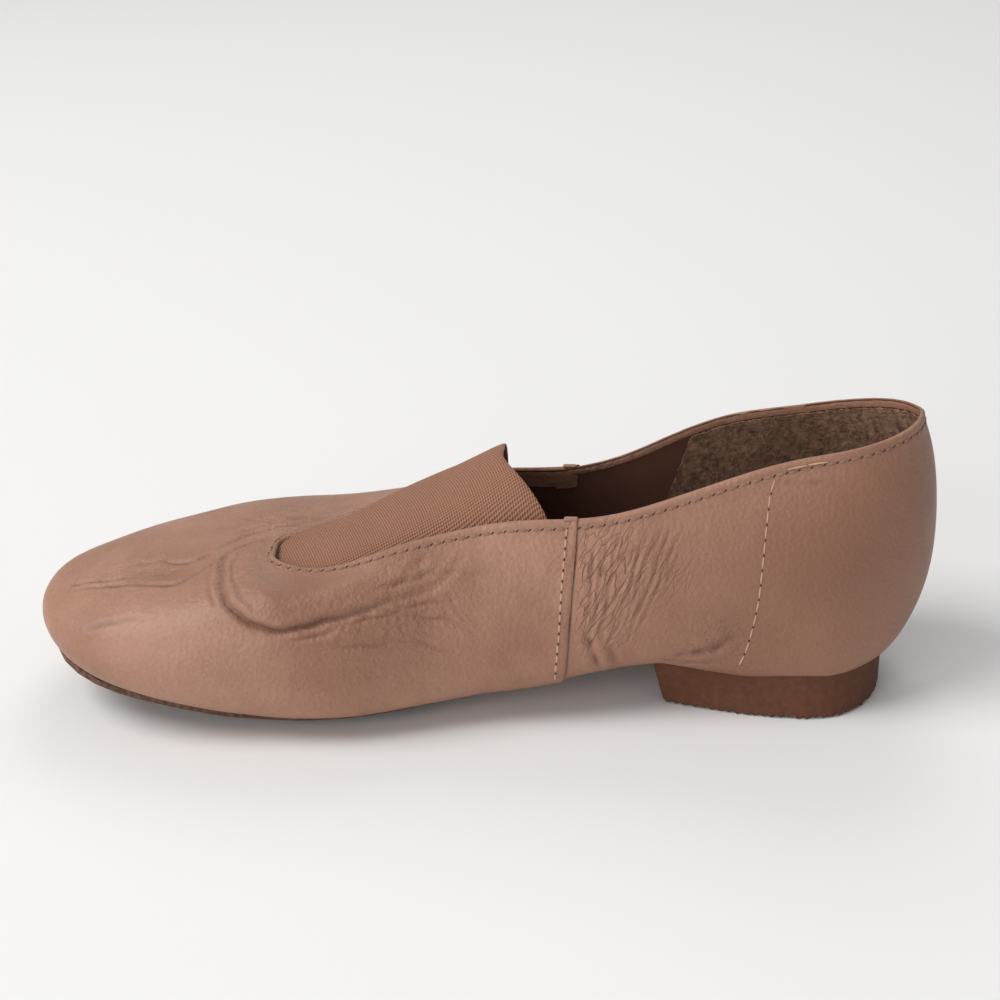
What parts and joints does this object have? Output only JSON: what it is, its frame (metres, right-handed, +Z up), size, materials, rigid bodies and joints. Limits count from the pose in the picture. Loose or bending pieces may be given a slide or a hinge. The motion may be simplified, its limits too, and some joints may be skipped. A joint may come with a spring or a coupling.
{
  "type": "jazz shoe",
  "caption": "Slip-on leather jazz shoe with an elastic gore over the instep, a split sole and a low heel.",
  "frame": {"origin": "under the middle of the shoe's box, on the floor that it stands on", "axes": "+X from toe to heel, +Y from the wearer's inner side to the outer side, +Z up"},
  "size_m": [0.2449, 0.0878, 0.0781],
  "materials": {
    "tan_leather": "soft garment leather, low sheen",
    "elastic": "matte ribbed elastic",
    "lining_cloth": "brushed lining",
    "suede_sole": "rough suede",
    "heel_stack": "matte foam rubber"
  },
  "bodies": {
    "root": {"upper": "tan_leather", "gore": "elastic", "insole": "lining_cloth", "front_sole": "suede_sole", "heel": "heel_stack"}
  },
  "joints": []
}
